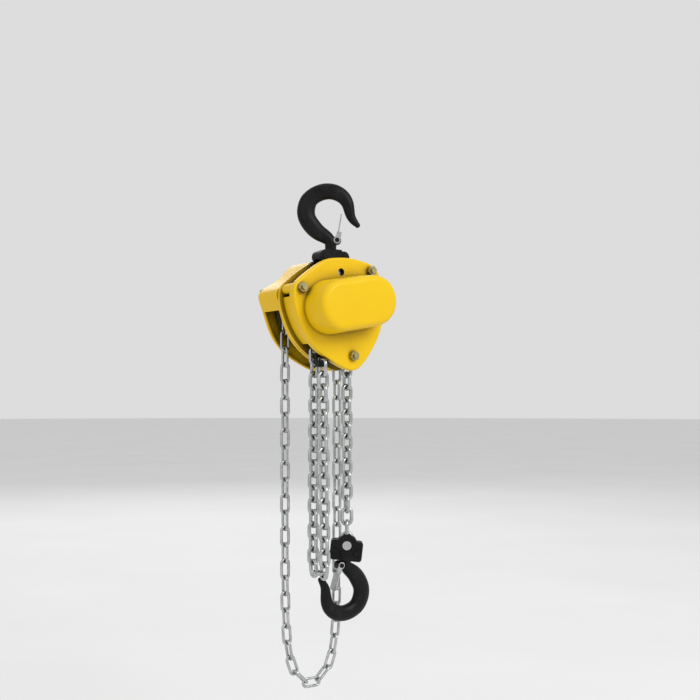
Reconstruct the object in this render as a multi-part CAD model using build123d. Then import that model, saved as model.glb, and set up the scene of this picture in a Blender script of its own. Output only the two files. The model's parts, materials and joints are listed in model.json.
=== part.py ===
"""Hand chain hoist, hanging unloaded from its top hook. Millimetres, +Z up.

Origin: the seat of the top hook, on the hook's swivel axis. The gear side of the hoist faces -Y and
the hand wheel +Y. The load chain runs in the plane Y = 0. The hoist hangs rolled about Y, because its
suspension pin stands to one side of the load sheave.
"""
import os
from math import acos, asin, atan2, cos, degrees, pi, radians, sin, tan

from build123d import *

# Where things hang
AXIS_X = 2.0                # load sheave, gear train and hand wheel share this axis along Y
AXIS_Z = -158.5
ROLL = 14.4                 # unloaded lean of the hoist about Y, degrees
SUSPENSION_Z = -110.3       # suspension pin, on the top hook's swivel axis
BULGE_TILT = -4.5           # long axis of the gear bulge and of the gear train, in the hoist

# Depths along Y
GEAR_COVER_Y = -28.0        # front of the gear cover's flange
BULGE_DEPTH = 46.0
BULGE_SHIFT = 3.0           # middle of the bulge, right of the sheave's axis
SHEET = 3.0                 # pressed covers
GEAR_PLATE_Y = (-19.0, -14.0)
WHEEL_PLATE_Y = (14.0, 19.0)
WHEEL_COVER_END_Y = 76.0
SLOT_Y = (25.0, 68.0)       # hand chain slots in the wheel cover's wall
HAND_WHEEL_Y = 57.0         # middle of the hand chain

# Outline of the hoist about its axis: half of it, from the top to the lower tip
OUTLINE_TOP = (0, 70)
OUTLINE_SIDE = [(30, 64.5), (56, 54), (73, 41.5), (78, 24), (76.5, -6), (69.5, -32), (54, -58), (27, -84)]
OUTLINE_TIP = (0, -97.4)
# The wheel cover is straighter over the top and sharper at its shoulders
COVER_SIDE = [(30, 59), (57, 48.5), (76.5, 38.5), (77, 22), (74.5, -6), (69, -32), (54, -58), (27, -84)]
STAY_POINTS = [(-62, 39), (62, 39)]
LOWER_STUD = (0, -76)

# Chains: every wire is drawn thinner by LINK_PLAY, so that linked wires stay apart
LOAD_PITCH = 18.35
LOAD_WIRE = 5.6
LOAD_WIDTH = 8.6            # inside a link
LOAD_POCKETS = 5
HAND_PITCH = 24.5
HAND_WIRE = 4.6
HAND_WIDTH = 7.5
HAND_POCKETS = 6
LINK_PLAY = 0.16
HOOK_STRAND_LINKS = 19
TAIL_LINKS = 20             # tail strand, down to the fold
END_LINKS = 16              # end strand, from the fold up to the anchor
ANCHOR_Y = -21.5            # the end strand hangs in front of the tail strand
ENGAGED_LINKS = 2           # links beside a wheel that its teeth still reach
FOLD_LEAN = 12.0            # links either side of the fold, degrees from upright
HAND_LOOP_LINKS = 23        # each side of the lowest hand link

# Gears: tooth counts, modules and pressure angle
PINION_TEETH, FIRST_TEETH, FIRST_MODULE = 8, 36, 1.5
SECOND_TEETH, LOAD_TEETH, SECOND_MODULE = 7, 26, 2.0
PRESSURE = radians(25)
BACKLASH = 0.3
GEAR_CENTRES = 33.0

# Hooks
HOOK_YAW = -33.0            # both swivel: how they are turned at rest
BOTTOM_HOOK_YAW = 33.0      # bottom hook against its block
BLOCK_LEAN = 6.5
HOOK_SEAT_TO_PIN = 91.4     # bottom hook's seat to the chain pin
RUN = 0.06                  # running clearance on radius
CLEAR = 0.4

HOIST = Pos(AXIS_X, 0, AXIS_Z) * Rot(0, -ROLL, 0)
SHEAVE_PLACE = Pos(AXIS_X, 0, AXIS_Z)


# ---------------------------------------------------------------- helpers
def slab(sketch, y0, y1):
    """The sketch, drawn in X and Z, as a solid from y0 to y1."""
    return extrude(Plane.XZ.offset(-y0) * sketch, y1 - y0, dir=(0, 1, 0))


def disc(radius, y0, y1, x=0, z=0):
    return slab(Pos(x, z) * Circle(radius), y0, y1)


def ring(outer, inner, y0, y1, x=0, z=0):
    return slab(Pos(x, z) * (Circle(outer) - Circle(inner)), y0, y1)


def hexagon(across_flats, y0, y1, x=0, z=0):
    return slab(Pos(x, z) * RegularPolygon(across_flats / 2, 6, major_radius=False), y0, y1)


def block(x0, x1, y0, y1, z0, z1):
    return Pos((x0 + x1) / 2, (y0 + y1) / 2, (z0 + z1) / 2) * Box(x1 - x0, y1 - y0, z1 - z0)


def group(*solids):
    return Compound(children=[one for shape in solids for one in shape.solids()])


def in_hoist(x, z):
    """A world point of the plane, in the hoist's own rolled frame."""
    dx, dz = x - AXIS_X, z - AXIS_Z
    c, s = cos(radians(ROLL)), sin(radians(ROLL))
    return dx * c + dz * s, dz * c - dx * s


def hoist_outline(inset=0.0, half=OUTLINE_SIDE):
    side = [OUTLINE_TOP] + half + [OUTLINE_TIP]
    points = side + [(-x, z) for x, z in reversed(half)]
    shrunk = []
    for x, z in points:
        scale = 1 - inset / (x * x + z * z) ** 0.5
        shrunk.append((x * scale, z * scale))
    return make_face(Spline(*shrunk, periodic=True))


SUSPENSION = in_hoist(0, SUSPENSION_Z)


def link_arms(pitch, width):
    """Centre of a link to its bend's centre, and on to where the next link's wire bears in that bend."""
    return (pitch - width) / 2, (pitch + width) / 2


def seat_radii(pitch, width, pockets):
    """Where a chain wraps a pocketed wheel: radius of the flat links, and of the upright ones between."""
    short, long = link_arms(pitch, width)
    turn = pi / pockets
    return (short + long * cos(turn)) / sin(turn), (long + short * cos(turn)) / sin(turn)


LOAD_FLAT, LOAD_UPRIGHT = seat_radii(LOAD_PITCH, LOAD_WIDTH, LOAD_POCKETS)
HAND_FLAT, HAND_UPRIGHT = seat_radii(HAND_PITCH, HAND_WIDTH, HAND_POCKETS)
LOAD_GROOVE = LOAD_UPRIGHT - LOAD_WIDTH / 2 - LOAD_WIRE - 0.6
HAND_GROOVE = HAND_UPRIGHT - HAND_WIDTH / 2 - HAND_WIRE - 0.6
HOOK_STRAND_X = AXIS_X + LOAD_FLAT
TAIL_STRAND_X = AXIS_X - LOAD_UPRIGHT
ROLLER_RADIUS = 13.5
ROLLER_OFFSET = 46.2
ROLLER_Z = -167.0
ROLLERS = [("left", AXIS_X - ROLLER_OFFSET), ("right", AXIS_X + ROLLER_OFFSET)]


# ---------------------------------------------------------------- chains
def chain_link(pitch, wire, width):
    """One welded link, long in Z and wide in X."""
    bend = (width + wire) / 2
    half = (pitch - width) / 2
    right = Line((bend, 0, -half), (bend, 0, half))
    top = ThreePointArc((bend, 0, half), (0, 0, half + bend), (-bend, 0, half))
    left = Line((-bend, 0, half), (-bend, 0, -half))
    foot = ThreePointArc((-bend, 0, -half), (0, 0, -half - bend), (bend, 0, -half))
    path = Wire([right, top, left, foot])
    return sweep(Plane(origin=(bend, 0, -half), z_dir=(0, 0, 1)) * Circle((wire - LINK_PLAY) / 2), path)


LOAD_LINK = chain_link(LOAD_PITCH, LOAD_WIRE, LOAD_WIDTH)
HAND_LINK = chain_link(HAND_PITCH, HAND_WIRE, HAND_WIDTH)


def wrapped_links(link, pockets, flat_radius, upright_radius, first_flat):
    """The links that lie on a pocketed wheel, from its +X side over the top to its -X side."""
    links = []
    for k in range(pockets + 1):
        flat = (k + first_flat) % 2
        seat = Pos(flat_radius if flat else upright_radius, 0, 0) * Rot(0, 0, 90 * flat)
        links.append(Rot(0, -180 / pockets * k, 0) * seat * link)
    return links


def load_chain_on_sheave():
    wrapped = wrapped_links(LOAD_LINK, LOAD_POCKETS, LOAD_FLAT, LOAD_UPRIGHT, 1)
    return group(*[SHEAVE_PLACE * link for link in wrapped], *slack_links()[:ENGAGED_LINKS])


def load_chain_hook_strand():
    """The strand twists over its lower links to face the way the hook block does."""
    links = []
    for k in range(1, HOOK_STRAND_LINKS + 1):
        twist = HOOK_YAW * min(4, max(0, k - HOOK_STRAND_LINKS + 5)) / 4
        flat = 90 * ((k + HOOK_STRAND_LINKS) % 2)
        z = AXIS_Z - LOAD_PITCH * k
        links.append(Pos(HOOK_STRAND_X, 0, z) * Rot(0, 0, twist + flat) * LOAD_LINK)
    return group(*links)


def slack_corners():
    """Bearing points of the slack loop in Y and Z. Links wide in Y bear at their bends' centres."""
    short, long = link_arms(LOAD_PITCH, LOAD_WIDTH)
    step_y, step_z = 2 * short * sin(radians(FOLD_LEAN)), 2 * short * cos(radians(FOLD_LEAN))
    middle = ANCHOR_Y / 2
    start = AXIS_Z - long
    down = []
    for k in range(TAIL_LINKS + 1):
        z = start - LOAD_PITCH * k + (LOAD_PITCH - 2 * short) * (k % 2)
        down.append(((middle + long + step_y) * k / TAIL_LINKS, z))
    low = down[-1][1] - step_z
    fold = [(middle + long, low), (middle - long, low)]
    up = []
    for k in range(END_LINKS + 1):
        y = middle - long - step_y
        z = low + step_z + LOAD_PITCH * k + (2 * long - LOAD_PITCH) * (k % 2)
        up.append((y + (ANCHOR_Y - y) * k / END_LINKS, z))
    return down + fold + up


def slack_links():
    corners = slack_corners()
    links = []
    for k, (start, end) in enumerate(zip(corners, corners[1:])):
        y, z = (start[0] + end[0]) / 2, (start[1] + end[1]) / 2
        lean = degrees(atan2(end[0] - start[0], end[1] - start[1]))
        links.append(Pos(TAIL_STRAND_X, y, z) * Rot(-lean, 0, 0) * Rot(0, 0, 90 * ((k + 1) % 2)) * LOAD_LINK)
    return links


def loop_side(drop):
    """Bearing points down one side of the hand chain's free loop, for a loop that hangs drop deep."""
    short, long = link_arms(HAND_PITCH, HAND_WIDTH)
    corners = [(HAND_UPRIGHT, -short)]
    s = asin(short / drop)
    while len(corners) <= HAND_LOOP_LINKS and s < pi / 2:
        s += 0.0001
        x, z = HAND_UPRIGHT * max(0.0, 1 - sin(s) ** 14) ** 0.5, -drop * sin(s)
        reach = 2 * (long if len(corners) % 2 else short)
        last = corners[-1]
        if (x - last[0]) ** 2 + (z - last[1]) ** 2 >= reach ** 2:
            corners.append((x, z))
    return corners


def hand_chain_corners():
    """The loop's depth is tuned until one link just closes the bottom."""
    width = link_arms(HAND_PITCH, HAND_WIDTH)[0 if HAND_LOOP_LINKS % 2 else 1]
    low, high = HAND_PITCH * (HAND_LOOP_LINKS - 3), HAND_PITCH * (HAND_LOOP_LINKS + 3)
    for _ in range(30):
        drop = (low + high) / 2
        corners = loop_side(drop)
        if len(corners) <= HAND_LOOP_LINKS or corners[-1][0] < width:
            low = drop
        else:
            high = drop
    return loop_side(high)


def hand_chain_loop():
    links = []
    right = hand_chain_corners()
    corners = right + [(-x, z) for x, z in reversed(right)]
    for k, (start, end) in enumerate(zip(corners, corners[1:])):
        x, z = (start[0] + end[0]) / 2, (start[1] + end[1]) / 2
        lean = degrees(atan2(end[0] - start[0], end[1] - start[1]))
        links.append(Pos(x, 0, z) * Rot(0, lean, 0) * Rot(0, 0, 90 * ((k + 1) % 2)) * HAND_LINK)
    return links


def hand_chain(engaged):
    """The endless hand chain: the links that the wheel reaches, or the free loop below them."""
    loop = hand_chain_loop()
    free = loop[ENGAGED_LINKS:-ENGAGED_LINKS]
    if engaged:
        wrapped = wrapped_links(HAND_LINK, HAND_POCKETS, HAND_FLAT, HAND_UPRIGHT, 0)
        free = wrapped + loop[:ENGAGED_LINKS] + loop[-ENGAGED_LINKS:]
    return Pos(AXIS_X, HAND_WHEEL_Y, AXIS_Z) * group(*free)


# ---------------------------------------------------------------- hooks
# Centre line of the hook in its own plane, seat at (0, 0), mouth at +x: x, z, width, thickness
HOOK_STATIONS = [
    (0, -69, 17.0, 17.0), (-0.5, -63.5, 17.6, 17.2), (-5, -57.5, 19.5, 17.5), (-13.5, -52, 22.5, 18),
    (-23, -44.5, 25, 18.5), (-31.5, -34, 26, 19), (-36.5, -20, 26.6, 19), (-33, -3.5, 26, 19),
    (-19.5, 8.2, 24.6, 18.5), (0, 11.8, 23.6, 18), (16.5, 5, 21.5, 17), (25.6, -8, 18, 15.5),
    (28.6, -21, 15, 14), (32.8, -30.5, 12, 12), (38.4, -37, 8.5, 10),
]
HOOK_TIP = (41.0, -40.0)
LATCH_PIVOT = (9.5, -61.0)
LATCH_PIN_RADIUS = 2.4
SHANK_RADIUS = 8.4
COLLAR_RADIUS = 12.0


def hook_section(index):
    x, z, width, thickness = HOOK_STATIONS[index]
    before = HOOK_STATIONS[max(index - 1, 0)]
    after = HOOK_STATIONS[min(index + 1, len(HOOK_STATIONS) - 1)]
    run = Vector(after[0] - before[0], 0, after[1] - before[1])
    if index == 0:
        run = Vector(0, 0, 1)
    face = Plane(origin=(x, 0, z), x_dir=(0, 1, 0), z_dir=run)
    return face * Ellipse(thickness / 2, width / 2)


def hook_forging(shank_end):
    """Forged hook, swivel shank down to shank_end, and the boss that carries the latch."""
    body = loft([hook_section(k) for k in range(len(HOOK_STATIONS))])
    x, z = HOOK_STATIONS[-1][:2]
    tip = Pos(x + 1.2, 0, z - 1.2) * Sphere(4.1)
    length = -shank_end + HOOK_STATIONS[0][1]
    shank = Pos(0, 0, HOOK_STATIONS[0][1] - length / 2 + 0.5) * Cylinder(SHANK_RADIUS, length + 1)
    boss = disc(6, -5, 5, *LATCH_PIVOT)
    spot = disc(6.8, 5.1, 12, *LATCH_PIVOT)
    hole = disc(LATCH_PIN_RADIUS, -9, 9, *LATCH_PIVOT)
    return body + tip + shank + boss - spot - mirror(spot, Plane.XZ) - hole


def latch():
    """Pressed safety latch: a tongue that reaches the tip's inner side, and two ears on the pin."""
    px, pz = LATCH_PIVOT
    tongue_end = (18.4, -22.5)
    lean = degrees(atan2(tongue_end[0] - px - 2.6, tongue_end[1] - pz))
    length = ((tongue_end[0] - px - 2.6) ** 2 + (tongue_end[1] - pz) ** 2) ** 0.5
    tongue = fillet(block(-0.9, 0.9, -7.5, 7.5, 9, length).edges().filter_by(Axis.X).group_by(Axis.Z)[-1], 4)
    tongue = tongue + block(-0.9, 1.9, -7.5, 7.5, 9, 11)
    ear = slab(Circle(5.2) + Pos(1.2, 6.2) * Rectangle(7, 12.4), 5.3, 7.1)
    ears = ear + mirror(ear, Plane.XZ)
    bore = disc(LATCH_PIN_RADIUS + RUN, -10, 10)
    return Pos(px, 0, pz) * Rot(0, lean, 0) * (tongue + ears - bore)


def latch_pin():
    x, z = LATCH_PIVOT
    return disc(LATCH_PIN_RADIUS, -8.4, 8.4, x, z) + disc(3.3, 7.3, 8.4, x, z) + disc(3.3, -8.4, -7.3, x, z)


def hook_collar(low, thick):
    """Ring nut that holds the shank up in its yoke."""
    return Pos(0, 0, low + thick / 2) * (Cylinder(COLLAR_RADIUS, thick) - Cylinder(SHANK_RADIUS + 0.02, thick + 2))


# ---------------------------------------------------------------- top yoke
YOKE_HALF_DEPTH = 12.4
YOKE_GAP = 3.5              # half of the clevis gap, wide enough for an upright chain link
YOKE_TOP = -75.0
YOKE_BOLT_X = 17.0
YOKE_BOLT_Z = -86.0
COLLAR_TOP = -80.0
COLLAR_THICK = 7.0
PIN_RADIUS = 6.0


def yoke_half(side):
    """One half of the top hook's clevis; side is -1 for the gear side, +1 for the wheel side."""
    lobes = Pos(0, YOKE_BOLT_Z) * SlotOverall(52, 18)
    neck = Pos(0, -79) * Rectangle(25, 8)
    stem = Polygon((-18, -86), (-12.4, SUSPENSION_Z), (12.4, SUSPENSION_Z), (18, -86), align=None)
    eye = Pos(0, SUSPENSION_Z) * Circle(12.4)
    body = slab(lobes + neck + stem + eye, 0.02, YOKE_HALF_DEPTH)
    body = chamfer(body.faces().sort_by(Axis.Y)[-1].edges(), 1.2)
    barrel = chamfer((Pos(0, 0, -83.2) * Cylinder(13.7, 15.4)).edges(), 1)
    body += barrel & block(-20, 20, 0.02, 20, -95, -70)
    body -= block(-30, 30, 0, YOKE_GAP, -130, COLLAR_TOP - COLLAR_THICK - 3)
    body -= Pos(0, 0, -78) * Cylinder(SHANK_RADIUS + CLEAR, 10)
    body -= Pos(0, 0, COLLAR_TOP - 4.6) * Cylinder(COLLAR_RADIUS + 0.3, COLLAR_THICK + 2.8)
    body -= disc(PIN_RADIUS + RUN, -30, 30, 0, SUSPENSION_Z)
    for x in (-YOKE_BOLT_X, YOKE_BOLT_X):
        body -= disc(2.55, -30, 30, x, YOKE_BOLT_Z)
    return body if side > 0 else mirror(body, Plane.XZ)


def yoke_bolts():
    parts = []
    for x in (-YOKE_BOLT_X, YOKE_BOLT_X):
        rivet = disc(2.5, -YOKE_HALF_DEPTH - 0.5, YOKE_HALF_DEPTH + 0.5, x, YOKE_BOLT_Z)
        for sign in (-1, 1):
            head = disc(4.2, YOKE_HALF_DEPTH, YOKE_HALF_DEPTH + 1.4, x, YOKE_BOLT_Z)
            rivet += head if sign > 0 else mirror(head, Plane.XZ)
        parts.append(rivet)
    return group(*parts)


def suspension_pin():
    """Pin through both side plates and the yoke, headed on the gear side."""
    shaft = disc(PIN_RADIUS, -19.5, 22, 0, SUSPENSION_Z)
    return shaft + disc(8.5, -21.5, -19.3, 0, SUSPENSION_Z)


def suspension_clip():
    return ring(8, PIN_RADIUS + 0.02, 19.3, 20.7, 0, SUSPENSION_Z)


# ---------------------------------------------------------------- covers, plates and frame
def bulge(inset, y_top, fillet_radius, left=0.0):
    """The bulge's own shape, or a smaller one inside it; left moves its left end outward."""
    shape = SlotOverall(138 + left - 2 * inset, 80 - 2 * inset, rotation=BULGE_TILT)
    base = Plane.XZ.offset(-GEAR_COVER_Y - SHEET) * Pos(BULGE_SHIFT - left / 2, 0) * shape
    body = extrude(base, -y_top + GEAR_COVER_Y + SHEET, taper=5)
    return fillet(body.faces().sort_by(Axis.Y)[0].edges(), fillet_radius)


def gear_cover():
    """Pressed cover: rolled flange, and the drafted bulge that houses the gear train."""
    shell = slab(hoist_outline(), GEAR_COVER_Y, GEAR_PLATE_Y[0])
    shell = fillet(shell.faces().sort_by(Axis.Y)[0].edges(), 3.5)
    hollow = slab(hoist_outline(SHEET), GEAR_COVER_Y + SHEET, GEAR_PLATE_Y[0] + 1)
    cover = shell + bulge(0, GEAR_COVER_Y - BULGE_DEPTH, 9) - hollow
    cover -= bulge(SHEET, GEAR_COVER_Y - BULGE_DEPTH + SHEET, 6, 1.6)
    for x, z in STAY_POINTS:
        cover -= disc(4.3, -40, -10, x, z)
    cover -= disc(4.3, -40, -10, *LOWER_STUD)
    cover -= disc(5.5, -40, -10, *SUSPENSION)
    return cover


def side_plate(y0, y1):
    """Steel side plate, bored for the sheave bearing, stays, rollers, pins and gear bushes."""
    plate = slab(hoist_outline(1.0), y0, y1)
    plate -= disc(BEARING_OUTER + 0.03, y0 - 1, y1 + 1)
    plate -= disc(PIN_RADIUS + RUN, y0 - 1, y1 + 1, *SUSPENSION)
    for x, z in STAY_POINTS:
        plate -= disc(4.05, y0 - 1, y1 + 1, x, z)
    for _, x in ROLLERS:
        plate -= disc(4.03, y0 - 1, y1 + 1, *in_hoist(x, ROLLER_Z))
    plate -= slab(Pos(*LIGHTENING) * SlotOverall(46, 18, rotation=75), y0 - 1, y1 + 1)
    plate -= disc(3.03, y0 - 1, y1 + 1, *STRIPPER_PIN)
    return plate


BEARING_OUTER = 24.0
BEARING_BORE = 15.0
LIGHTENING = (44, -30)      # window in the right of both plates
STRIPPER_PIN = in_hoist(AXIS_X + 1.5, AXIS_Z - 45)
GEAR_SPOTS = [(GEAR_CENTRES * cos(radians(BULGE_TILT + turn)), GEAR_CENTRES * sin(radians(BULGE_TILT + turn)))
              for turn in (0, 180)]


def gear_side_plate():
    plate = side_plate(*GEAR_PLATE_Y)
    for x, z in GEAR_SPOTS:
        plate -= disc(6.03, -20, -10, x, z)
    plate -= disc(4.05, -20, -10, *LOWER_STUD)
    for x, z in ANCHOR_SCREWS:
        plate -= disc(2.03, -20, -10, x, z)
    return plate


def wheel_side_plate():
    plate = side_plate(*WHEEL_PLATE_Y)
    plate -= disc(4.05, 10, 20, *LOWER_STUD)
    for x, z in PAWL_PIVOTS:
        plate -= disc(3.53, 10, 20, x, z)
    return plate


def frame_band(side):
    """Curved guard between the plates, thickened on the left; it stops short of the chains below."""
    outer, inner, deep = hoist_outline(7.0), hoist_outline(10.0), hoist_outline(16.0)
    y0, y1 = GEAR_PLATE_Y[1] + 0.02, WHEEL_PLATE_Y[0] - 0.02
    if side > 0:
        return slab(outer - inner, y0, y1) & block(20, 90, -20, 20, -30, 29)
    thin = slab(outer - inner, y0, y1) & block(-90, -20, -20, 20, -44, 29)
    return thin + (slab(outer - deep, y0, y1) & block(-90, -20, -20, 20, -30, 26))


def stay_bolts():
    """Two long stays join the covers and plates; a short stud each side holds the lower tip."""
    parts = []
    for x, z in STAY_POINTS:
        parts.append(disc(4.0, -38, WHEEL_COVER_END_Y + 8.5, x, z))
    parts.append(disc(4.0, -38, -14.2, *LOWER_STUD))
    parts.append(disc(4.0, 14.2, WHEEL_COVER_END_Y + 8.5, *LOWER_STUD))
    return group(*parts)


def stay_spacers():
    """Tubes on the stays: between the plates, and under the gear cover."""
    parts = []
    for x, z in STAY_POINTS:
        parts.append(ring(8, 4.05, GEAR_PLATE_Y[1], WHEEL_PLATE_Y[0], x, z))
        parts.append(ring(6.5, 4.05, GEAR_COVER_Y + SHEET, GEAR_PLATE_Y[0], x, z))
    parts.append(ring(6.5, 4.05, GEAR_COVER_Y + SHEET, GEAR_PLATE_Y[0], *LOWER_STUD))
    return group(*parts)


def cover_nuts(y0, y1):
    parts = []
    for x, z in STAY_POINTS + [LOWER_STUD]:
        nut = hexagon(13, y0, y1, x, z) & disc(7.2, y0, y1, x, z)
        parts.append(nut - disc(4.03, y0 - 1, y1 + 1, x, z))
    return group(*parts)


def hand_wheel_cover():
    """Deep pressed cover over the hand wheel, slotted left and right for the hand chain."""
    y0, y1 = WHEEL_PLATE_Y[1], WHEEL_COVER_END_Y
    shell = slab(hoist_outline(0.5, COVER_SIDE), y0, y1)
    shell = fillet(shell.faces().sort_by(Axis.Y)[-1].edges(), 4)
    shell -= slab(hoist_outline(3.0, COVER_SIDE), y0 - 1, y1 - 2.5)
    for sign in (-1, 1):
        shell -= block(min(sign * 17, sign * 95), max(sign * 17, sign * 95), *SLOT_Y, -120, 12)
    for x, z in STAY_POINTS + [LOWER_STUD]:
        shell -= disc(4.3, 60, 90, x, z)
    return shell


# ---------------------------------------------------------------- load sheave and guides
def load_sheave():
    """Pocketed sheave with its two journals and the spline for the load gear, bored for the shaft."""
    body = disc(31.5, -12.8, 12.8)
    body = chamfer(body.edges(), 1.5)
    body -= disc(40, -3.5, 3.5) - disc(LOAD_GROOVE, -3.5, 3.5)
    floor = LOAD_FLAT - LOAD_WIRE / 2 - 0.25
    half = LOAD_PITCH / 2 + LOAD_WIRE + 1.2
    width = LOAD_WIDTH + 2 * LOAD_WIRE + 1
    for k in range(LOAD_POCKETS):
        angle = 360 / LOAD_POCKETS * k
        pocket = block(floor, 45, -width / 2, width / 2, -half, half)
        body -= Rot(0, -angle, 0) * fillet(pocket.edges().filter_by(Axis.X), 6)
    body += disc(BEARING_BORE, -24.2, -12.8) + disc(BEARING_BORE, 12.8, 20.6) + disc(12, -38.5, -24)
    body -= disc(SHAFT_RADIUS + 0.5, -40, 30)
    return SHEAVE_PLACE * body


SHAFT_RADIUS = 7.4


def ball_bearing(y0, y1):
    """Deep-groove bearing: outer ring, inner ring and balls in a shallow race."""
    middle = (y0 + y1) / 2
    race = Pos(0, middle, 0) * Rot(90, 0, 0) * Torus(19.4, 2.45)
    outer = ring(BEARING_OUTER, 21.2, y0, y1) - race
    inner = ring(17.6, BEARING_BORE + RUN, y0, y1) - race
    balls = []
    for k in range(10):
        balls.append(Rot(0, 36 * k, 0) * Pos(19.4, middle, 0) * Sphere(2.4))
    return group(outer, inner, *balls)


def guide_roller(x):
    """Grooved roller beside the sheave: two lands press flat links home, upright links pass between."""
    body = disc(ROLLER_RADIUS, -12.6, 12.6)
    body = chamfer(body.edges(), 1)
    body -= disc(30, -3.6, 3.6) - disc(6.6, -3.6, 3.6)
    body -= disc(4 + RUN, -20, 20)
    return Pos(x, 0, ROLLER_Z) * body


def roller_pins():
    parts = []
    for _, x in ROLLERS:
        parts.append(disc(4, -18.9, 18.9, *in_hoist(x, ROLLER_Z)))
    return group(*parts)


def chain_stripper():
    """Flat finger that stands in the sheave's groove below it and strips the chain off."""
    wedge = Polygon((-14, -22), (14, -22), (9, -52), (-9, -52), align=None)
    plate = slab(wedge, -2.6, 2.6) - disc(LOAD_GROOVE + 0.8, -3, 3)
    return SHEAVE_PLACE * plate - HOIST * disc(3.03, -10, 10, *STRIPPER_PIN)


def stripper_pin():
    """Cross pin of the stripper, with a distance tube on each side of it."""
    x, z = STRIPPER_PIN
    tubes = [ring(5, 3.05, -13.9, -2.7, x, z), ring(5, 3.05, 2.7, 13.9, x, z)]
    return group(disc(3, -18.9, 18.9, x, z), *tubes)


# ---------------------------------------------------------------- slack end anchor
ANCHOR_TOP = slack_corners()[-1][1]
ANCHOR_PIN_RADIUS = 2.6
ANCHOR_PIN_Z = ANCHOR_TOP + LOAD_WIDTH / 2 - ANCHOR_PIN_RADIUS - 0.1
ANCHOR_SCREWS = [in_hoist(TAIL_STRAND_X, -215), in_hoist(TAIL_STRAND_X, -225)]
ANCHOR_STRAP_Y = (GEAR_PLATE_Y[1] + 0.02, -11.0)


def chain_anchor():
    """Strap behind the gear side plate; its two cheeks hold the pin of the chain's last link."""
    x, z = TAIL_STRAND_X, ANCHOR_PIN_Z
    strap = block(x - 6.8, x + 6.8, *ANCHOR_STRAP_Y, z - 5, -210)
    cheeks = block(x - 6.8, x + 6.8, ANCHOR_Y - 5, ANCHOR_STRAP_Y[1], z - 5, z + 4.6)
    gap = block(x - 3.3, x + 3.3, -40, 0, z - 20, z + 8.6)
    body = strap + cheeks - gap
    body -= Pos(x, ANCHOR_Y, z) * Rot(0, 90, 0) * Cylinder(ANCHOR_PIN_RADIUS + 0.03, 40)
    for sx, sz in ANCHOR_SCREWS:
        body -= HOIST * disc(2.03, -30, -5, sx, sz)
    return body


def anchor_pin():
    place = Pos(TAIL_STRAND_X, ANCHOR_Y, ANCHOR_PIN_Z) * Rot(0, 90, 0)
    heads = Pos(0, 0, 7.6) * Cylinder(3.8, 1.6) + Pos(0, 0, -7.6) * Cylinder(3.8, 1.6)
    return place * (Cylinder(ANCHOR_PIN_RADIUS, 15) + heads)


def anchor_screws():
    parts = []
    for x, z in ANCHOR_SCREWS:
        parts.append(disc(2, -19.5, -11.1, x, z) + disc(3.5, -21.4, -19.05, x, z))
    return group(*parts)


# ---------------------------------------------------------------- gear train
def gear_sketch(teeth, module, addendum, dedendum, turn):
    """Involute gear outline, with a tooth centred on the angle turn (degrees)."""
    pitch_radius = module * teeth / 2
    base = pitch_radius * cos(PRESSURE)
    tip, root = pitch_radius + addendum, pitch_radius - dedendum
    half_pitch_angle = pi / (2 * teeth) - BACKLASH / (2 * pitch_radius)
    inv = lambda a: tan(a) - a
    start = max(base, root)
    steps = 6
    flank = []
    for k in range(steps + 1):
        radius = start + (tip - start) * k / steps
        flank.append((radius, half_pitch_angle + inv(PRESSURE) - inv(acos(min(1, base / radius)))))
    if root < base:
        flank.insert(0, (root, flank[0][1]))
    points = []
    for k in range(teeth):
        middle = radians(turn) + 2 * pi * k / teeth
        for radius, half in flank:
            points.append((radius * cos(middle - half), radius * sin(middle - half)))
        for radius, half in reversed(flank):
            points.append((radius * cos(middle + half), radius * sin(middle + half)))
    return Polygon(*points, align=None)


def gear(teeth, module, addendum, dedendum, turn, y0, y1):
    return slab(gear_sketch(teeth, module, addendum, dedendum, turn), y0, y1)


def pinion_shaft():
    """Drive shaft: pinion in front, plain through the sheave, thread and nut seat behind."""
    shaft = gear(PINION_TEETH, FIRST_MODULE, 1.27, 1.3, BULGE_TILT, -52, -42)
    shaft += disc(4.6, -60, -42) + disc(SHAFT_RADIUS - 0.3, -42, 22)
    shaft += disc(8, 22, 64.2) + disc(5.5, 64.2, 72.4)
    return shaft


def load_gear():
    wheel = gear(LOAD_TEETH, SECOND_MODULE, 1.2, 1.95, BULGE_TILT, -36, -25)
    wheel -= disc(12.03, -50, -20)
    for k in range(6):
        spot = Rot(0, 60 * k, 0) * Pos(17.8, 0, 0)
        wheel -= spot * disc(3.2, -50, -20)
    return wheel


def load_gear_ring():
    return ring(14, 12.03, -37.9, -36.1)


def intermediate_gear(index):
    """Cluster gear: the large wheel meets the pinion, the small one the load gear."""
    toward = BULGE_TILT + 180 * index + 180
    big_turn = toward + 180 / FIRST_TEETH
    small_turn = toward + 180 / SECOND_TEETH
    body = gear(FIRST_TEETH, FIRST_MODULE, 0.97, 1.6, big_turn, -50.5, -43)
    body += gear(SECOND_TEETH, SECOND_MODULE, 1.6, 1.55, small_turn, -43, -24.6)
    body += disc(4, -58, -14.2)
    return Pos(GEAR_SPOTS[index][0], 0, GEAR_SPOTS[index][1]) * body


def intermediate_bushes():
    parts = []
    for x, z in GEAR_SPOTS:
        parts.append(ring(6, 4 + RUN, -20.5, -14.1, x, z))
        parts.append(ring(6, 4 + RUN, -57.5, -53.6, x, z))
    return group(*parts)


BRIDGE_POST = 30.6


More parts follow.
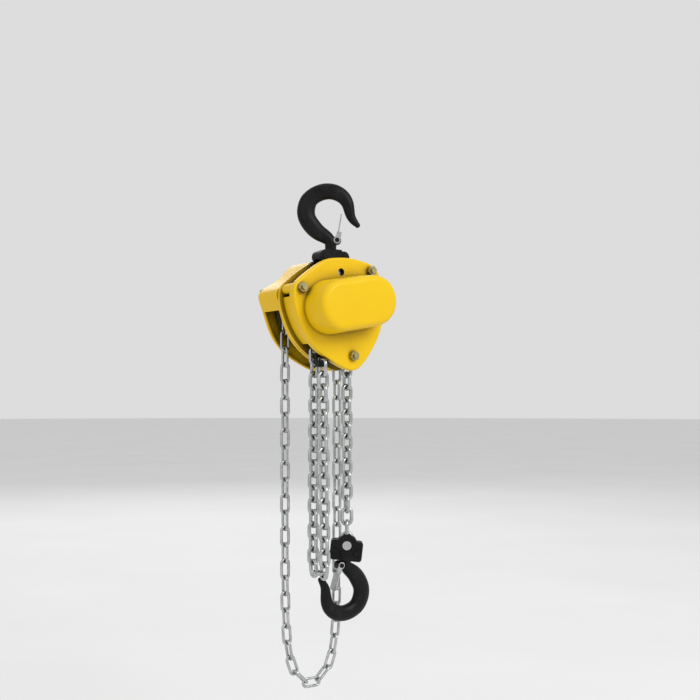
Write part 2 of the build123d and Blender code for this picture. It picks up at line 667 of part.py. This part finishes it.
def bearing_bridge():
    """Cross-shaped bridge in the bulge, on two posts, for the front ends of the three gear shafts."""
    cross = SlotOverall(88, 22, rotation=BULGE_TILT) + SlotOverall(66, 9, rotation=90)
    plate = slab(cross, -57.5, -53.5)
    plate -= disc(4.6 + RUN, -60, -50)
    for x, z in GEAR_SPOTS:
        plate -= disc(6.03, -60, -50, x, z)
    for z in (-BRIDGE_POST, BRIDGE_POST):
        plate += disc(2.6, -57.5, GEAR_PLATE_Y[0] - 0.02, 0, z)
    return plate


# ---------------------------------------------------------------- brake
PAWL_PIVOTS = [(48 * cos(radians(a)), 48 * sin(radians(a))) for a in (100, 280)]
RATCHET_TEETH = 18
RATCHET_TIP = 35.0


def friction_hub():
    hub = ring(28, 8.05, 23, 27) + ring(14, 8.05, 27, 38)
    return hub


def friction_discs():
    """A lining on each side of the ratchet disc."""
    return group(ring(27, 14.5, 27.2, 29.6), ring(27, 14.5, 35.2, 37.7))


def ratchet_disc():
    points = []
    for k in range(RATCHET_TEETH):
        start = 2 * pi * k / RATCHET_TEETH
        points.append((RATCHET_TIP * cos(start), RATCHET_TIP * sin(start)))
        dip = start + 0.12 * 2 * pi / RATCHET_TEETH
        points.append(((RATCHET_TIP - 3.5) * cos(dip), (RATCHET_TIP - 3.5) * sin(dip)))
    return slab(Polygon(*points, align=None) - Circle(14.4), 29.9, 34.9)


def pawl(index):
    """Pawl on its pin; its tip rides on the crests of the ratchet."""
    x, z = PAWL_PIVOTS[index]
    bearing = atan2(z, x) - radians(34)
    tip = ((RATCHET_TIP + 2.5) * cos(bearing), (RATCHET_TIP + 2.5) * sin(bearing))
    nose = Pos(*tip) * Circle(2)
    boss = Pos(x, z) * Circle(6)
    arm = make_hull(nose.edges() + boss.edges())
    return slab(arm, 29.9, 34.9) - disc(3.5 + RUN, 20, 40, x, z)


def pawl_pins():
    parts = []
    for x, z in PAWL_PIVOTS:
        parts.append(disc(3.5, 14.1, 36.4, x, z) + disc(5, 19.05, 29.6, x, z) + disc(5.2, 35.2, 36.6, x, z))
    return group(*parts)


def pawl_springs():
    """Torsion springs on the pawl pins."""
    parts = []
    for x, z in PAWL_PIVOTS:
        coil = Helix(pitch=1.5, height=6, radius=6.4)
        wire = sweep(Plane(origin=coil @ 0, z_dir=coil % 0) * Circle(0.5), coil)
        parts.append(Pos(x, 21, z) * Rot(-90, 0, 0) * wire)
    return group(*parts)


# ---------------------------------------------------------------- hand wheel
def hand_wheel():
    body = disc(56, HAND_WHEEL_Y - 12.5, HAND_WHEEL_Y + 12.5)
    body = chamfer(body.edges(), 2)
    dish = disc(35, HAND_WHEEL_Y + 4, HAND_WHEEL_Y + 20) + disc(35, HAND_WHEEL_Y - 20, HAND_WHEEL_Y - 4)
    body -= dish
    body += disc(15, 44, 64.5) + ring(27, 8.06, 38, 44)
    body += disc(27.2, 43, HAND_WHEEL_Y - 4)
    groove = disc(70, HAND_WHEEL_Y - 3, HAND_WHEEL_Y + 3)
    body -= groove - disc(HAND_GROOVE, HAND_WHEEL_Y - 4, HAND_WHEEL_Y + 4)
    floor = HAND_FLAT - HAND_WIRE / 2 - 0.25
    half = HAND_PITCH / 2 + HAND_WIRE + 1.4
    width = HAND_WIDTH + 2 * HAND_WIRE + 1.2
    for k in range(HAND_POCKETS):
        angle = 360 / HAND_POCKETS * (k + 0.5)
        pocket = block(floor, 80, HAND_WHEEL_Y - width / 2, HAND_WHEEL_Y + width / 2, -half, half)
        body -= Rot(0, -angle, 0) * fillet(pocket.edges().filter_by(Axis.X), 6)
    body -= disc(8.05, 30, 80)
    return SHEAVE_PLACE * body


def castle_nut():
    nut = hexagon(18, 64.7, 71.5) & disc(10, 64.7, 71.5)
    nut -= disc(5.55, 60, 80)
    for k in range(3):
        nut -= Rot(0, 60 * k, 0) * block(-12, 12, 69, 75, -1.3, 1.3)
    return nut


# ---------------------------------------------------------------- hook block
BLOCK_HALF_DEPTH = 11.0
BLOCK_BOTTOM = -22.9        # under the chain pin
UPRIGHT_END = 19.4          # above the chain pin: middle of the lower bend of the last link but one
BLOCK_BOLT = (17.5, -9.0)
CHAIN_PIN_RADIUS = 3.2
LINK_CENTRE_Z = AXIS_Z - LOAD_PITCH * HOOK_STRAND_LINKS
CHAIN_PIN_Z = LINK_CENTRE_Z - LOAD_PITCH / 2 + CHAIN_PIN_RADIUS + 0.1
STRAND = Pos(HOOK_STRAND_X, 0, CHAIN_PIN_Z) * Rot(0, 0, HOOK_YAW)
BLOCK = STRAND * Rot(0, BLOCK_LEAN, 0)
BOTTOM_HOOK = BLOCK * Pos(0, 0, -HOOK_SEAT_TO_PIN) * Rot(0, 0, BOTTOM_HOOK_YAW) * Rot(0, 180, 0)


def block_half(side):
    """Half of the bottom clevis: a round eye for the chain pin over a wide foot."""
    foot = Pos(0, (BLOCK_BOTTOM + 7) / 2) * Rectangle(48, 7 - BLOCK_BOTTOM)
    foot = fillet(foot.vertices(), 4.5)
    body = slab(foot + Circle(15.8), 0.02, BLOCK_HALF_DEPTH)
    body = chamfer(body.faces().sort_by(Axis.Y)[-1].edges(), 1.4)
    barrel = chamfer((Pos(0, 0, -15.4) * Cylinder(15.2, 15)).edges(), 1.4)
    body += barrel & block(-20, 20, 0.02, 20, -30, 0)
    body -= block(-40, 40, 0, 3.3, -12.8, 40)
    body -= Pos(0, 0, -22) * Cylinder(SHANK_RADIUS + CLEAR, 30)
    body -= Pos(0, 0, UPRIGHT_END) * Rot(0, 90, 0) * Cylinder(10.6, 11.6)
    body -= Pos(0, 0, -14.9) * Cylinder(COLLAR_RADIUS + 0.3, 8.2)
    body -= disc(CHAIN_PIN_RADIUS + 0.03, -20, 20)
    for x in (-BLOCK_BOLT[0], BLOCK_BOLT[0]):
        body -= disc(2.55, -20, 20, x, BLOCK_BOLT[1])
    return body if side > 0 else mirror(body, Plane.XZ)


def block_bolts():
    parts = []
    for x in (-BLOCK_BOLT[0], BLOCK_BOLT[0]):
        bolt = disc(2.5, -BLOCK_HALF_DEPTH - 3, BLOCK_HALF_DEPTH + 4.2, x, BLOCK_BOLT[1])
        bolt += disc(4.2, -BLOCK_HALF_DEPTH - 2.6, -BLOCK_HALF_DEPTH, x, BLOCK_BOLT[1])
        nut = hexagon(7, BLOCK_HALF_DEPTH, BLOCK_HALF_DEPTH + 3.4, x, BLOCK_BOLT[1])
        parts += [bolt, nut - disc(2.53, 0, 30, x, BLOCK_BOLT[1])]
    return group(*parts)


def chain_pin():
    """Pin of the last load link, with a turned head that shows on the block's face."""
    pin = disc(CHAIN_PIN_RADIUS, -BLOCK_HALF_DEPTH - 1.6, BLOCK_HALF_DEPTH + 1.6)
    for sign in (-1, 1):
        head = ring(6.6, 3.3, BLOCK_HALF_DEPTH, BLOCK_HALF_DEPTH + 1.6) + disc(3.4, BLOCK_HALF_DEPTH, BLOCK_HALF_DEPTH + 0.8)
        pin += head if sign > 0 else mirror(head, Plane.XZ)
    return pin


# ---------------------------------------------------------------- write the parts
def write_parts():
    top = Rot(0, 0, HOOK_YAW)
    parts = {
        "top_hook": top * hook_forging(-84.9),
        "top_hook_collar": hook_collar(COLLAR_TOP - COLLAR_THICK, COLLAR_THICK),
        "top_latch": top * latch(),
        "top_latch_pin": top * latch_pin(),
        "yoke_gear_side": yoke_half(-1),
        "yoke_wheel_side": yoke_half(1),
        "yoke_rivets": yoke_bolts(),
        "suspension_pin": suspension_pin(),
        "suspension_clip": suspension_clip(),
        "gear_cover": HOIST * gear_cover(),
        "gear_cover_nuts": HOIST * cover_nuts(GEAR_COVER_Y - 6.5, GEAR_COVER_Y),
        "gear_side_plate": HOIST * gear_side_plate(),
        "wheel_side_plate": HOIST * wheel_side_plate(),
        "frame_band_left": HOIST * frame_band(-1),
        "frame_band_right": HOIST * frame_band(1),
        "stay_bolts": HOIST * stay_bolts(),
        "stay_spacers": HOIST * stay_spacers(),
        "hand_wheel_cover": HOIST * hand_wheel_cover(),
        "wheel_cover_nuts": HOIST * cover_nuts(WHEEL_COVER_END_Y, WHEEL_COVER_END_Y + 6.5),
        "load_sheave": load_sheave(),
        "load_gear": HOIST * load_gear(),
        "load_gear_ring": HOIST * load_gear_ring(),
        "gear_side_bearing": HOIST * ball_bearing(-20.2, -13.2),
        "wheel_side_bearing": HOIST * ball_bearing(13.2, 20.2),
        "chain_stripper": chain_stripper(),
        "stripper_pin": HOIST * stripper_pin(),
        "roller_pins": HOIST * roller_pins(),
        "chain_anchor": chain_anchor(),
        "anchor_pin": anchor_pin(),
        "anchor_screws": HOIST * anchor_screws(),
        "pinion_shaft": HOIST * pinion_shaft(),
        "intermediate_bushes": HOIST * intermediate_bushes(),
        "bearing_bridge": HOIST * bearing_bridge(),
        "friction_hub": HOIST * friction_hub(),
        "friction_discs": HOIST * friction_discs(),
        "ratchet_disc": HOIST * ratchet_disc(),
        "pawl_pins": HOIST * pawl_pins(),
        "pawl_springs": HOIST * pawl_springs(),
        "hand_wheel": hand_wheel(),
        "castle_nut": HOIST * castle_nut(),
        "load_chain_on_sheave": load_chain_on_sheave(),
        "load_chain_hook_strand": load_chain_hook_strand(),
        "load_chain_slack": group(*slack_links()[ENGAGED_LINKS:]),
        "hand_chain_on_wheel": hand_chain(True),
        "hand_chain_loop": hand_chain(False),
        "block_half_front": BLOCK * block_half(-1),
        "block_half_rear": BLOCK * block_half(1),
        "block_bolts": BLOCK * block_bolts(),
        "chain_pin": BLOCK * chain_pin(),
        "bottom_hook": BOTTOM_HOOK * hook_forging(-79),
        "bottom_hook_collar": BOTTOM_HOOK * hook_collar(-79.2, 5.2),
        "bottom_latch": BOTTOM_HOOK * latch(),
        "bottom_latch_pin": BOTTOM_HOOK * latch_pin(),
    }
    for index in (0, 1):
        parts[f"intermediate_gear_{index + 1}"] = HOIST * intermediate_gear(index)
        parts[f"pawl_{index + 1}"] = HOIST * pawl(index)
    for name, x in ROLLERS:
        parts[f"guide_roller_{name}"] = guide_roller(x)
    os.makedirs("parts", exist_ok=True)
    for node, shape in parts.items():
        export_step(shape, f"parts/{node}.step")
    print(len(parts), "parts; chain pin z", round(CHAIN_PIN_Z, 2), "anchor pin z", round(ANCHOR_PIN_Z, 2))


write_parts()
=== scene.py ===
"""Looks for the hand chain hoist: enamel, black paint, zinc, camera, light and floor."""
import json
from math import cos, pi, sin

import bpy
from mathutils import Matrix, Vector


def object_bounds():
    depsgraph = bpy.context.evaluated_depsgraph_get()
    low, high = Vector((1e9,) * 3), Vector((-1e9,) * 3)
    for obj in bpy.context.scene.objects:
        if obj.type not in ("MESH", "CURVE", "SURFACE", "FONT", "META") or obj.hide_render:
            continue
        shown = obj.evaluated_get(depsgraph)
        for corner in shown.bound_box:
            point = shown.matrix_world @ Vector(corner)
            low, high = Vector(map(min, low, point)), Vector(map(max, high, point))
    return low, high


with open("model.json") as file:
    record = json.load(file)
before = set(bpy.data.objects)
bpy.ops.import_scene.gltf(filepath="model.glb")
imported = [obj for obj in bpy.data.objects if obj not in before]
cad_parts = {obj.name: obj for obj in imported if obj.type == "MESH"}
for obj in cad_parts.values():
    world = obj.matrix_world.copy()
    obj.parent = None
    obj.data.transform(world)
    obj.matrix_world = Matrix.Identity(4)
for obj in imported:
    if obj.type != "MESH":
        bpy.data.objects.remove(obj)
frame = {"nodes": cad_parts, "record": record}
CAD_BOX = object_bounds()
AIM = (0.0, 0.0, -0.25)       # lights point here, at the middle of the chains
FLOOR_DROP = 0.16             # floor below the hand chain's lowest link
FLOOR_RADIUS = 30.0
FLOOR_SIDES = 128
WORLD_STRENGTH = 0.72
CAMERA_PLACE = (-0.8487, -1.2970, -0.2939)
CAMERA_DIRECTION = (0.5446, 0.8387, 0.0)
SLOT_OF = {part["node"]: part["material_slot"] for part in frame["record"]["subparts"]}


# ---------------------------------------------------------------- shader helpers
class Shader:
    """A material being built: nodes are made by short calls and linked by name."""

    def __init__(self, name):
        self.material = bpy.data.materials.new(name)
        self.material.use_nodes = True
        self.tree = self.material.node_tree
        self.tree.nodes.clear()
        self.out = self.tree.nodes.new("ShaderNodeOutputMaterial")
        self.bsdf = self.tree.nodes.new("ShaderNodeBsdfPrincipled")
        self.link(self.bsdf.outputs[0], self.out.inputs["Surface"])
        self.place = self.tree.nodes.new("ShaderNodeTexCoord").outputs["Object"]

    def link(self, source, target):
        self.tree.links.new(source, target)

    def node(self, kind, inputs=None, **settings):
        made = self.tree.nodes.new(kind)
        for key, value in settings.items():
            setattr(made, key, value)
        for key, value in (inputs or {}).items():
            if isinstance(value, bpy.types.NodeSocket):
                self.link(value, made.inputs[key])
            else:
                made.inputs[key].default_value = value
        return made

    def noise(self, scale, detail=4.0, rough=0.55, place=None):
        inputs = {"Vector": place or self.place, "Scale": scale, "Detail": detail, "Roughness": rough}
        return self.node("ShaderNodeTexNoise", inputs).outputs["Fac"]

    def ramp(self, value, *stops):
        made = self.node("ShaderNodeValToRGB", {"Fac": value})
        bar = made.color_ramp.elements
        while len(bar) < len(stops):
            bar.new(0.5)
        for element, (position, level) in zip(bar, stops):
            element.position = position
            shade = (level, level, level) if isinstance(level, (int, float)) else level
            element.color = (*shade, 1.0)
        return made.outputs["Color"]

    def math(self, kind, a, b=0.0):
        return self.node("ShaderNodeMath", {0: a, 1: b}, operation=kind).outputs[0]

    def mix(self, factor, a, b):
        made = self.node("ShaderNodeMix", data_type="RGBA")
        for socket, value in ((made.inputs["Factor"], factor), (made.inputs[6], a), (made.inputs[7], b)):
            if isinstance(value, bpy.types.NodeSocket):
                self.link(value, socket)
            elif isinstance(value, (int, float)):
                socket.default_value = value
            else:
                socket.default_value = (*value, 1.0)
        return made.outputs[2]

    def edges(self, radius, low, high):
        """1 on convex and concave edges, 0 on open surfaces: how far the rounded normal leans away."""
        soft = self.node("ShaderNodeBevel", {"Radius": radius}, samples=6).outputs[0]
        hard = self.node("ShaderNodeNewGeometry").outputs["Normal"]
        dot = self.node("ShaderNodeVectorMath", {0: soft, 1: hard}, operation="DOT_PRODUCT")
        return self.ramp(self.math("SUBTRACT", 1.0, dot.outputs["Value"]), (low, 0.0), (high, 1.0))

    def crevice(self, distance, low, high):
        """0 in corners and under things, 1 in the open."""
        made = self.node("ShaderNodeAmbientOcclusion", {"Distance": distance}, samples=8)
        return self.ramp(made.outputs["AO"], (low, 0.0), (high, 1.0))

    def bump(self, height, strength, distance, normal=None):
        inputs = {"Height": height, "Strength": strength, "Distance": distance}
        if normal is not None:
            inputs["Normal"] = normal
        return self.node("ShaderNodeBump", inputs).outputs[0]

    def finish(self, color, roughness, normal=None, **constants):
        self.link(color, self.bsdf.inputs["Base Color"])
        self.link(roughness, self.bsdf.inputs["Roughness"])
        if normal is not None:
            self.link(normal, self.bsdf.inputs["Normal"])
        for key, value in constants.items():
            self.bsdf.inputs[key.replace("_", " ")].default_value = value
        return self.material


# ---------------------------------------------------------------- materials
def enamel(name, base, shade, bare=(0.32, 0.30, 0.27)):
    """Sprayed enamel over pressed steel: orange peel, cloudiness, painted shade darkening the insides,
    painted shade in corners broken up by noise, chips.
    """
    s = Shader(name)
    cloud = s.noise(9.0, 3.0)
    color = s.mix(s.ramp(cloud, (0.35, 0.0), (0.7, 1.0)), base, shade)
    # painted shade: long-range AO (5 cm) darkens the insides and recesses to near black
    color = s.mix(s.crevice(0.05, 0.34, 0.74), (0.035, 0.012, 0.003), color)
    # painted shade: short-range AO darkens corners to a dark copy of the paint, broken up by noise
    painted_crease_shade = s.math("SUBTRACT", 1.0, s.crevice(0.008, 0.25, 0.85))
    painted_crease_shade = s.math("MULTIPLY", painted_crease_shade, s.ramp(s.noise(60.0, 6.0), (0.3, 0.25), (0.7, 0.8)))
    color = s.mix(painted_crease_shade, color, tuple(0.22 * c for c in base))
    flake = s.ramp(s.noise(240.0, 5.0, 0.7), (0.60, 0.0), (0.66, 1.0))
    chips = s.math("MULTIPLY", s.edges(0.0009, 0.04, 0.25), flake)
    color = s.mix(chips, color, bare)
    specks = s.ramp(s.noise(420.0, 3.0, 0.6), (0.74, 0.0), (0.78, 1.0))
    color = s.mix(s.math("MULTIPLY", specks, 0.35), color, tuple(0.45 * c for c in base))
    rough = s.ramp(s.noise(28.0, 5.0), (0.3, 0.32), (0.75, 0.44))
    rough = s.math("ADD", rough, s.math("MULTIPLY", chips, 0.25))
    peel = s.bump(s.noise(520.0, 2.0, 0.4), 0.10, 0.0006)
    peel = s.bump(s.math("SUBTRACT", 1.0, chips), 0.35, 0.0002, peel)
    return s.finish(color, rough, peel, Coat_Weight=0.04, Coat_Roughness=0.20, Specular_IOR_Level=0.20)


def forged_black(name):
    """Black paint over a forging: pitted skin, softly worn edges that show a grey sheen."""
    s = Shader(name)
    cloud = s.ramp(s.noise(35.0, 5.0), (0.3, 0.0), (0.7, 1.0))
    color = s.mix(cloud, (0.004, 0.004, 0.0045), (0.010, 0.010, 0.011))
    rubbed = s.ramp(s.noise(180.0, 6.0, 0.7), (0.5, 0.0), (0.62, 1.0))
    worn = s.math("MULTIPLY", s.edges(0.0014, 0.03, 0.3), rubbed)
    color = s.mix(s.math("MULTIPLY", worn, 0.7), color, (0.10, 0.097, 0.094))
    dust = s.ramp(s.noise(95.0, 6.0, 0.65), (0.56, 0.0), (0.75, 0.06))
    color = s.mix(dust, color, (0.22, 0.20, 0.17))
    rough = s.ramp(s.noise(70.0, 5.0), (0.3, 0.30), (0.72, 0.50))
    skin = s.bump(s.noise(150.0, 6.0, 0.6), 0.22, 0.0012)
    skin = s.bump(s.noise(700.0, 3.0, 0.6), 0.12, 0.0003, skin)
    return s.finish(color, rough, skin, Coat_Weight=0.02, Coat_Roughness=0.22, Specular_IOR_Level=0.12)


def plated(name, light, dark, tint, low=0.20, high=0.38, grain=90.0):
    """Zinc plate: spangled brightness, duller patches, painted shade where pieces meet."""
    s = Shader(name)
    patch = s.ramp(s.noise(grain, 5.0, 0.6), (0.32, 0.0), (0.68, 1.0))
    color = s.mix(patch, light, dark)
    stain = s.ramp(s.noise(grain * 0.35, 4.0), (0.52, 0.0), (0.72, 0.55))
    color = s.mix(stain, color, tint)
    # painted shade: short-range AO darkens crevices where pieces meet to a dark copy of the metal colour
    unshaded_mask = s.crevice(0.0035, 0.15, 0.75)
    color = s.mix(unshaded_mask, tuple(0.30 * c for c in dark), color)
    rough = s.ramp(s.noise(grain * 1.6, 5.0), (0.3, low), (0.7, high))
    tool = s.bump(s.noise(grain * 6.0, 4.0, 0.6), 0.14, 0.0003)
    return s.finish(color, rough, tool, Metallic=1.0)


def machined(name, base, rough_low=0.22, rough_high=0.36):
    """Turned and ground steel: fine rings around the sheave axis, painted shade darkening the corners."""
    s = Shader(name)
    stretch = s.node("ShaderNodeMapping", {"Vector": s.place, "Scale": (1.0, 9.0, 1.0)}).outputs[0]
    lines = s.noise(420.0, 3.0, 0.6, stretch)
    color = s.mix(s.ramp(lines, (0.3, 0.0), (0.7, 1.0)), base, tuple(0.72 * c for c in base))
    # painted shade: short-range AO darkens corners to near-black brown
    machined_corner_shade = s.math("SUBTRACT", 1.0, s.crevice(0.006, 0.2, 0.85))
    color = s.mix(s.math("MULTIPLY", machined_corner_shade, 0.7), color, (0.05, 0.04, 0.03))
    rough = s.ramp(s.noise(130.0, 5.0), (0.3, rough_low), (0.7, rough_high))
    return s.finish(color, rough, s.bump(lines, 0.10, 0.0003), Metallic=1.0)


def cast(name):
    """Sand-cast steel: grainy, dark, with a trace of oil."""
    s = Shader(name)
    grain = s.noise(330.0, 6.0, 0.7)
    color = s.mix(s.ramp(grain, (0.35, 0.0), (0.7, 1.0)), (0.075, 0.073, 0.07), (0.16, 0.155, 0.15))
    rust = s.ramp(s.noise(45.0, 6.0, 0.65), (0.60, 0.0), (0.74, 0.35))
    color = s.mix(rust, color, (0.13, 0.065, 0.035))
    rough = s.ramp(s.noise(85.0, 5.0), (0.3, 0.42), (0.7, 0.62))
    return s.finish(color, rough, s.bump(grain, 0.45, 0.0006), Metallic=0.6)


def lining(name):
    """Moulded friction lining: fibres and brass flecks."""
    s = Shader(name)
    fibre = s.noise(260.0, 6.0, 0.75)
    color = s.mix(s.ramp(fibre, (0.35, 0.0), (0.65, 1.0)), (0.05, 0.035, 0.025), (0.13, 0.10, 0.075))
    fleck = s.ramp(s.noise(900.0, 2.0), (0.70, 0.0), (0.73, 1.0))
    color = s.mix(fleck, color, (0.5, 0.36, 0.14))
    rough = s.ramp(fibre, (0.3, 0.65), (0.7, 0.85))
    return s.finish(color, rough, s.bump(fibre, 0.4, 0.0005))


MATERIALS = {
    "yellow_paint": enamel("hoist_enamel", (0.80, 0.52, 0.004), (0.77, 0.47, 0.003)),
    "black_paint": forged_black("forged_black"),
    "zinc_steel": plated("bright_zinc", (0.55, 0.57, 0.56), (0.38, 0.40, 0.39), (0.30, 0.31, 0.29)),
    "yellow_zinc": plated("yellow_zinc", (0.46, 0.40, 0.19), (0.34, 0.29, 0.13), (0.40, 0.37, 0.22),
                          0.30, 0.46, 140.0),
    "machined_steel": machined("machined_steel", (0.56, 0.56, 0.57)),
    "cast_steel": cast("cast_steel"),
    "bronze": machined("bronze", (0.62, 0.42, 0.19)),
    "friction_lining": lining("friction_lining"),
}


def dress_nodes():
    for node, obj in frame["nodes"].items():
        material = MATERIALS[SLOT_OF[node]]
        if not obj.material_slots:
            obj.data.materials.append(material)
        for slot in obj.material_slots:
            slot.material = material


# ---------------------------------------------------------------- camera, light, floor
def look(obj, target):
    obj.rotation_mode = "QUATERNION"
    obj.rotation_quaternion = (Vector(target) - obj.location).to_track_quat("-Z", "Y")


def make_camera():
    data = bpy.data.cameras.new("camera")
    camera = bpy.data.objects.new("camera", data)
    bpy.context.scene.collection.objects.link(camera)
    camera.location = CAMERA_PLACE
    look(camera, camera.location + Vector(CAMERA_DIRECTION))
    data.sensor_width = 36.0
    data.lens = 53.86
    data.shift_x = 0.0329
    data.shift_y = 0.0686
    data.clip_start = 0.01
    data.clip_end = 100.0
    bpy.context.scene.camera = camera


def area(name, place, target, size, power, color=(1, 1, 1)):
    data = bpy.data.lights.new(name, "AREA")
    data.shape = "RECTANGLE"
    data.size, data.size_y = size
    data.energy = power
    data.color = color
    light = bpy.data.objects.new(name, data)
    bpy.context.scene.collection.objects.link(light)
    light.location = place
    look(light, target)


def make_light():
    area("key", (1.0, -4.2, 2.4), AIM, (2.8, 2.2), 118)
    area("fill", (-4.2, -1.6, 1.3), AIM, (2.6, 2.6), 22)
    area("back", (1.6, 4.2, 2.2), AIM, (3.0, 2.2), 42)
    area("top", (0.0, 0.3, 4.2), AIM, (3.0, 3.0), 12)
    world = bpy.data.worlds.new("studio")
    world.use_nodes = True
    world.node_tree.nodes["Background"].inputs["Color"].default_value = (1.0, 1.0, 1.0, 1.0)
    world.node_tree.nodes["Background"].inputs["Strength"].default_value = WORLD_STRENGTH
    bpy.context.scene.world = world


def make_floor():
    """Pale floor a little below the hand chain."""
    s = Shader("pale_floor")
    tone = s.mix(s.ramp(s.noise(1.5, 3.0), (0.3, 0.0), (0.7, 1.0)), (0.78, 0.78, 0.78), (0.81, 0.81, 0.81))
    material = s.finish(tone, s.ramp(s.noise(4.0), (0.3, 0.80), (0.7, 0.90)), Specular_IOR_Level=0.2)
    mesh = bpy.data.meshes.new("floor")
    turns = [2 * pi * k / FLOOR_SIDES for k in range(FLOOR_SIDES)]
    rim = [(FLOOR_RADIUS * cos(turn), FLOOR_RADIUS * sin(turn), 0.0) for turn in turns]
    mesh.from_pydata(rim, [], [tuple(range(FLOOR_SIDES))])
    mesh.materials.append(material)
    floor = bpy.data.objects.new("floor", mesh)
    floor.location = (0.0, 0.0, CAD_BOX[0].z - FLOOR_DROP)
    bpy.context.scene.collection.objects.link(floor)


dress_nodes()
make_camera()
make_light()
make_floor()
bpy.context.scene.view_settings.view_transform = "Standard"
